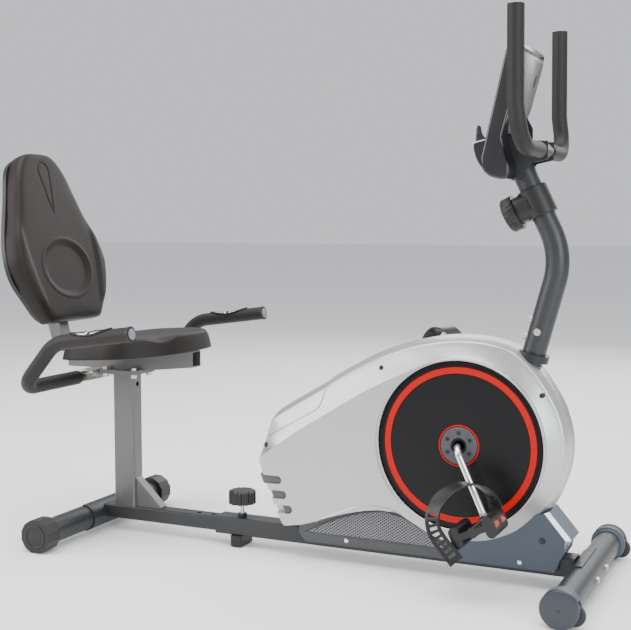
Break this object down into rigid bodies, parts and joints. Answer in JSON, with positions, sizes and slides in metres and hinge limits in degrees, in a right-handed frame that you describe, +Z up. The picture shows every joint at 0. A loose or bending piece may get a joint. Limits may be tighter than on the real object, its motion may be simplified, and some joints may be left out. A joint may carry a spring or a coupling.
{
  "type": "recumbent exercise bike",
  "caption": "Recumbent exercise bike with a sliding padded seat, bent mast with console and U handlebar, and a silver shroud over a magnetic drive.",
  "frame": {"origin": "on the floor, in the middle of the bike's length and width", "axes": "+X forward from the seat to the console, +Y to the rider's left, +Z up"},
  "size_m": [1.5134, 0.6684, 1.2022],
  "materials": {
    "frame_steel": "dark grey metallic powder coat, satin",
    "post_steel": "grey metallic powder coat, satin",
    "bare_steel": "plain steel",
    "zinc": "zinc plated",
    "chrome": "bright chrome",
    "cast_iron": "turned cast iron",
    "foam": "fine-cell foam, matt",
    "rubber": "black rubber",
    "belt": "ribbed belt",
    "upholstery": "black-brown grained artificial leather",
    "silver_plastic": "silver metallic paint on ABS",
    "dark_plastic": "dark grey moulded plastic",
    "black_plastic": "black moulded plastic",
    "disc_black": "satin black plastic",
    "red_trim": "bright red plastic",
    "slate_plastic": "slate grey moulded plastic",
    "display": "display window",
    "nylon": "natural nylon"
  },
  "bodies": {
    "main_frame": {"main_beam": "frame_steel", "slide_bush": "nylon", "centre_foot": "black_plastic", "front_stabiliser": "frame_steel", "front_caps": "black_plastic", "drive_bracket": "frame_steel", "bearings": "bare_steel", "drive_belt": "belt", "shroud_right": "silver_plastic", "shroud_left": "silver_plastic", "lower_cover": "slate_plastic", "mast_stub": "frame_steel", "mast": "frame_steel", "mast_collar": "rubber", "tension_housing": "dark_plastic", "tension_cable": "black_plastic", "front_handle": "frame_steel", "front_grips": "foam", "top_bracket": "post_steel", "console_back": "silver_plastic", "console_face": "black_plastic", "console_display": "display", "frame_bolts": "chrome"},
    "seat_frame": {"rear_beam": "frame_steel", "rear_stabiliser": "frame_steel", "seat_post": "post_steel", "seat_beam": "post_steel", "seat_cushion": "upholstery", "backrest_cushion": "upholstery", "backrest_shell": "black_plastic", "backrest_bar": "post_steel", "side_handle": "frame_steel", "side_grips": "foam", "side_caps": "black_plastic", "pulse_sensors": "chrome", "side_clamp": "zinc", "seat_bolts": "chrome"},
    "adjust_pin": {"adjust_pin": "zinc", "adjust_knob": "black_plastic"},
    "crank": {"crank_rod": "chrome", "drive_pulley": "black_plastic", "disc_right": "disc_black", "disc_left": "disc_black", "disc_rings": "red_trim", "hub_plates": "dark_plastic"},
    "pedal_right": {"pedal_right": "black_plastic", "strap_right": "black_plastic"},
    "pedal_left": {"pedal_left": "black_plastic", "strap_left": "black_plastic"},
    "flywheel": {"flywheel": "cast_iron", "flywheel_axle": "bare_steel"},
    "magnet_shoe": {"magnet_shoe": "bare_steel"},
    "tension_knob": {"tension_knob": "black_plastic"},
    "wheel_right": {"wheel_right": "black_plastic"},
    "wheel_left": {"wheel_left": "black_plastic"},
    "rear_cap_right": {"rear_cap_right": "black_plastic"},
    "rear_cap_left": {"rear_cap_left": "black_plastic"},
    "button_left": {"button_left": "dark_plastic"},
    "button_middle": {"button_middle": "red_trim"},
    "button_right": {"button_right": "dark_plastic"}
  },
  "joints": [
    {"name": "seat_slide", "type": "slide", "parent": "main_frame", "child": "seat_frame", "axis": [1, 0, 0], "range_m": [-0.12, 0.12]},
    {"name": "adjust_pin_slide", "type": "slide", "parent": "main_frame", "child": "adjust_pin", "axis": [0, 0, 1], "range_m": [-0.014, 0]},
    {"name": "crank_spin", "type": "hinge", "parent": "main_frame", "child": "crank", "pos_m": [0.44066, 0, 0.2994], "axis": [0, 1, 0], "continuous": true},
    {"name": "pedal_right_spin", "type": "hinge", "parent": "crank", "child": "pedal_right", "pos_m": [0.51557, -0.103, 0.15238], "axis": [0, 1, 0], "continuous": true},
    {"name": "pedal_left_spin", "type": "hinge", "parent": "crank", "child": "pedal_left", "pos_m": [0.36575, 0.103, 0.44642], "axis": [0, 1, 0], "continuous": true},
    {"name": "flywheel_spin", "type": "hinge", "parent": "main_frame", "child": "flywheel", "pos_m": [0.16266, 0, 0.24], "axis": [0, 1, 0], "continuous": true},
    {"name": "tension_turn", "type": "hinge", "parent": "main_frame", "child": "tension_knob", "pos_m": [0.53512, 0, 0.79597], "axis": [-0.901, 0, -0.4339], "range_deg": [0, 270]},
    {"name": "magnet_swing", "type": "hinge", "parent": "main_frame", "child": "magnet_shoe", "pos_m": [0.27566, 0, 0.205], "axis": [0, 1, 0], "range_deg": [0, 6]},
    {"name": "wheel_right_spin", "type": "hinge", "parent": "main_frame", "child": "wheel_right", "pos_m": [0.73466, -0.252, 0.028], "axis": [0, 1, 0], "continuous": true},
    {"name": "wheel_left_spin", "type": "hinge", "parent": "main_frame", "child": "wheel_left", "pos_m": [0.73466, 0.252, 0.028], "axis": [0, 1, 0], "continuous": true},
    {"name": "rear_cap_right_turn", "type": "hinge", "parent": "seat_frame", "child": "rear_cap_right", "pos_m": [-0.52984, -0.248, 0.0393], "axis": [0, 1, 0], "range_deg": [0, 180]},
    {"name": "rear_cap_left_turn", "type": "hinge", "parent": "seat_frame", "child": "rear_cap_left", "pos_m": [-0.52984, 0.248, 0.0393], "axis": [0, 1, 0], "range_deg": [0, 180]},
    {"name": "button_left_press", "type": "slide", "parent": "main_frame", "child": "button_left", "axis": [0.9622, 0, -0.2723], "range_m": [0, 0.002], "stiffness_N_per_m": 400, "springref_m": -0.001},
    {"name": "button_middle_press", "type": "slide", "parent": "main_frame", "child": "button_middle", "axis": [0.9622, 0, -0.2723], "range_m": [0, 0.002], "stiffness_N_per_m": 400, "springref_m": -0.001},
    {"name": "button_right_press", "type": "slide", "parent": "main_frame", "child": "button_right", "axis": [0.9622, 0, -0.2723], "range_m": [0, 0.002], "stiffness_N_per_m": 400, "springref_m": -0.001}
  ],
  "couplings": [
    {"joint": "flywheel_spin", "follows": "crank_spin", "ratio": 7.0588},
    {"joint": "magnet_swing", "follows": "tension_turn", "ratio": 0.022222}
  ]
}
